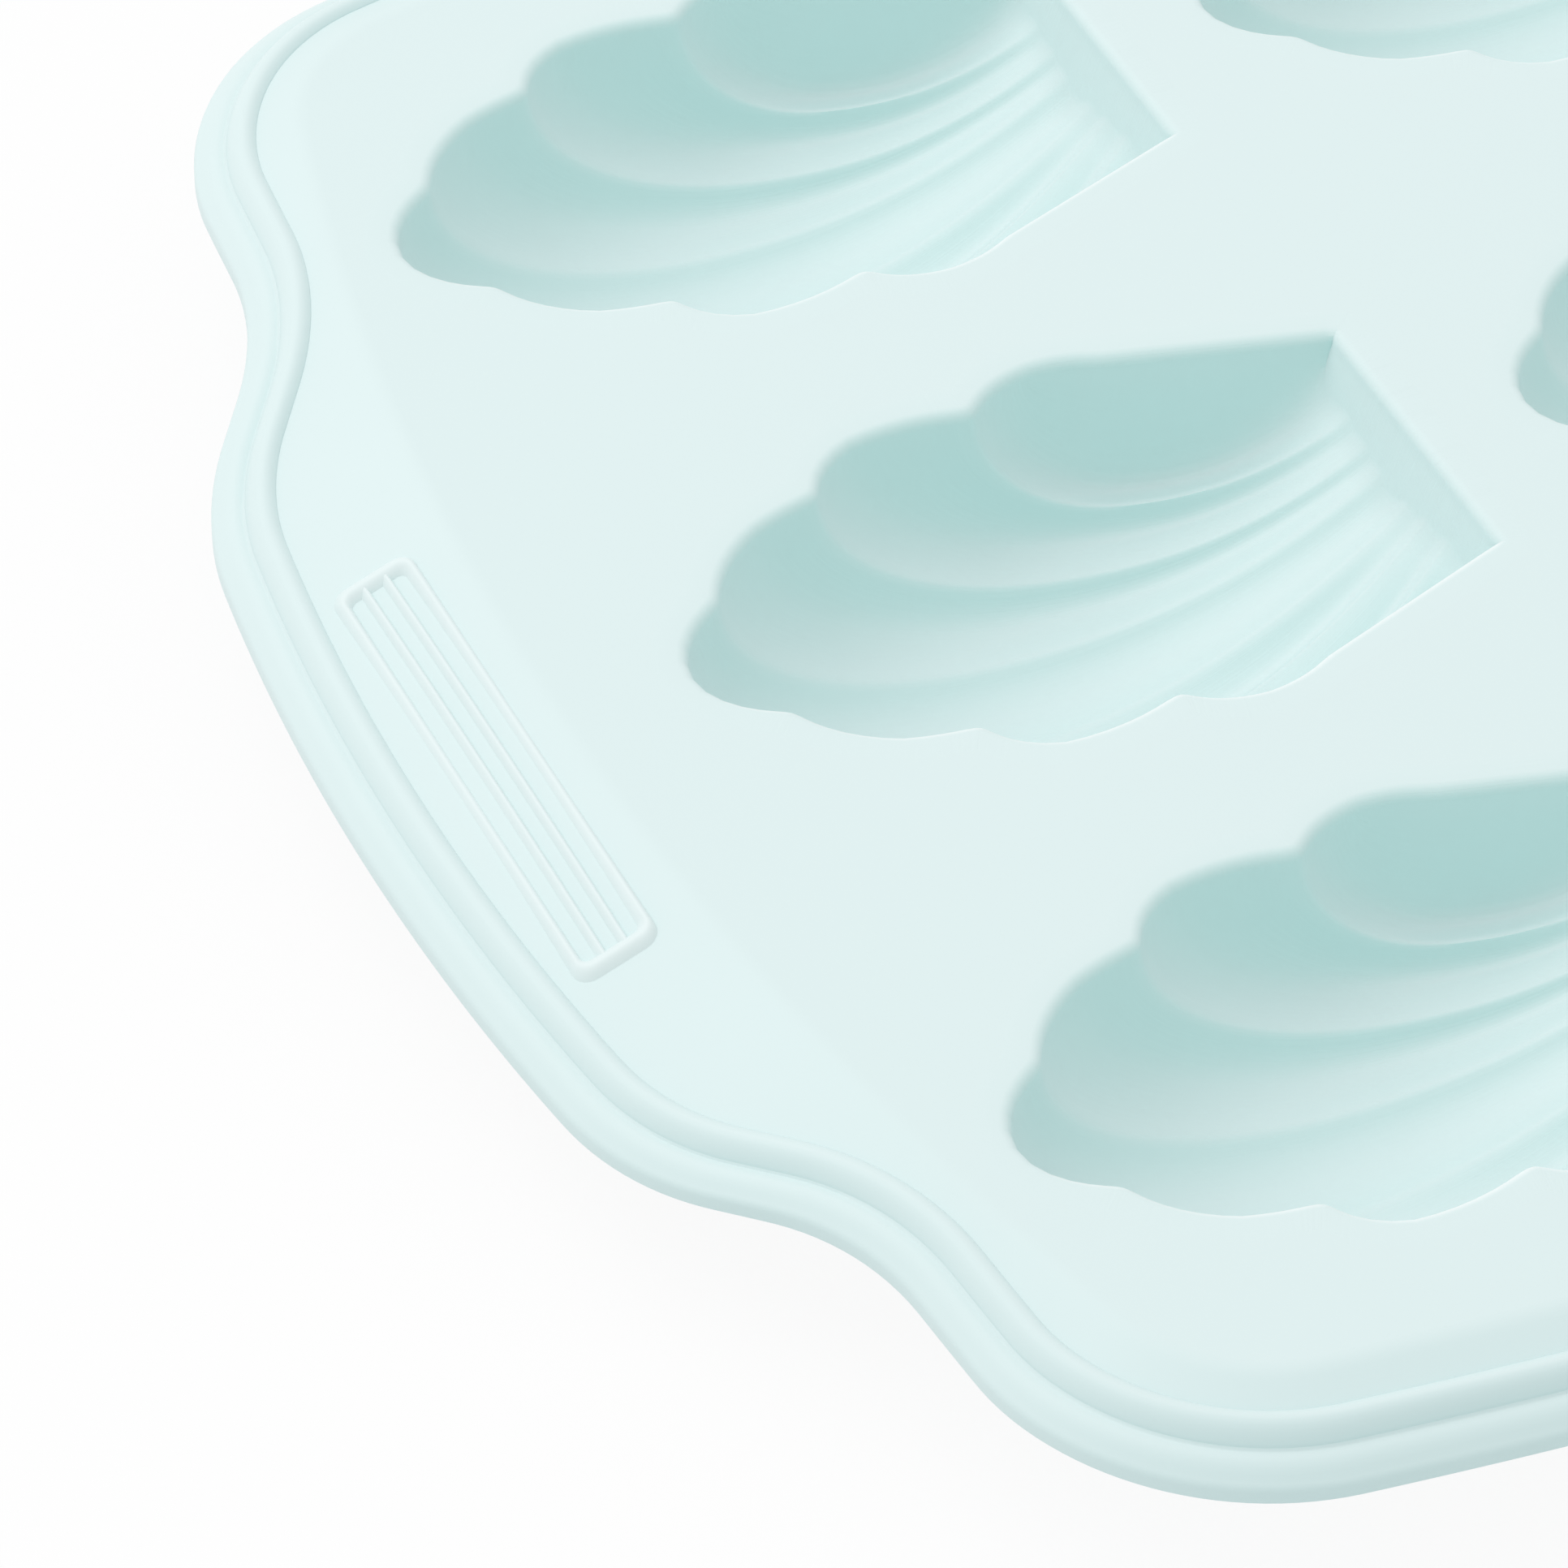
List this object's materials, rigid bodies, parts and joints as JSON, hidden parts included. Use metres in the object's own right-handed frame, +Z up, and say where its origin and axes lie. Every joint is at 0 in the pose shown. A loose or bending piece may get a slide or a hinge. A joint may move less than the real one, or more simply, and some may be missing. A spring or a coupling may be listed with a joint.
{
  "type": "madeleine pan",
  "caption": "Flexible silicone baking pan with fluted shell-shaped cups in rows, a flat deck, a rolled and flanged rim and a ribbed handle at each end.",
  "frame": {"origin": "centre of the bounding box's bottom face, on the plane that the cups stand on", "axes": "+X along the length, towards the end walls of the cups; +Y across, towards the back row; +Z up, out of the deck's top face"},
  "size_m": [0.286, 0.2106, 0.0192],
  "materials": {
    "silicone": "satin, slightly translucent",
    "hoop_steel": "drawn wire"
  },
  "bodies": {
    "root": {"deck": "silicone", "cup_front_left": "silicone", "cup_front_centre": "silicone", "cup_front_right": "silicone", "cup_middle_left": "silicone", "cup_middle_centre": "silicone", "cup_middle_right": "silicone", "cup_back_left": "silicone", "cup_back_centre": "silicone", "cup_back_right": "silicone", "apron_front": "silicone", "apron_back": "silicone", "handle_left": "silicone", "handle_right": "silicone", "rim_bead": "silicone", "rim_flange": "silicone", "grip_left": "silicone", "grip_right": "silicone", "rim_hoop": "hoop_steel"}
  },
  "joints": []
}
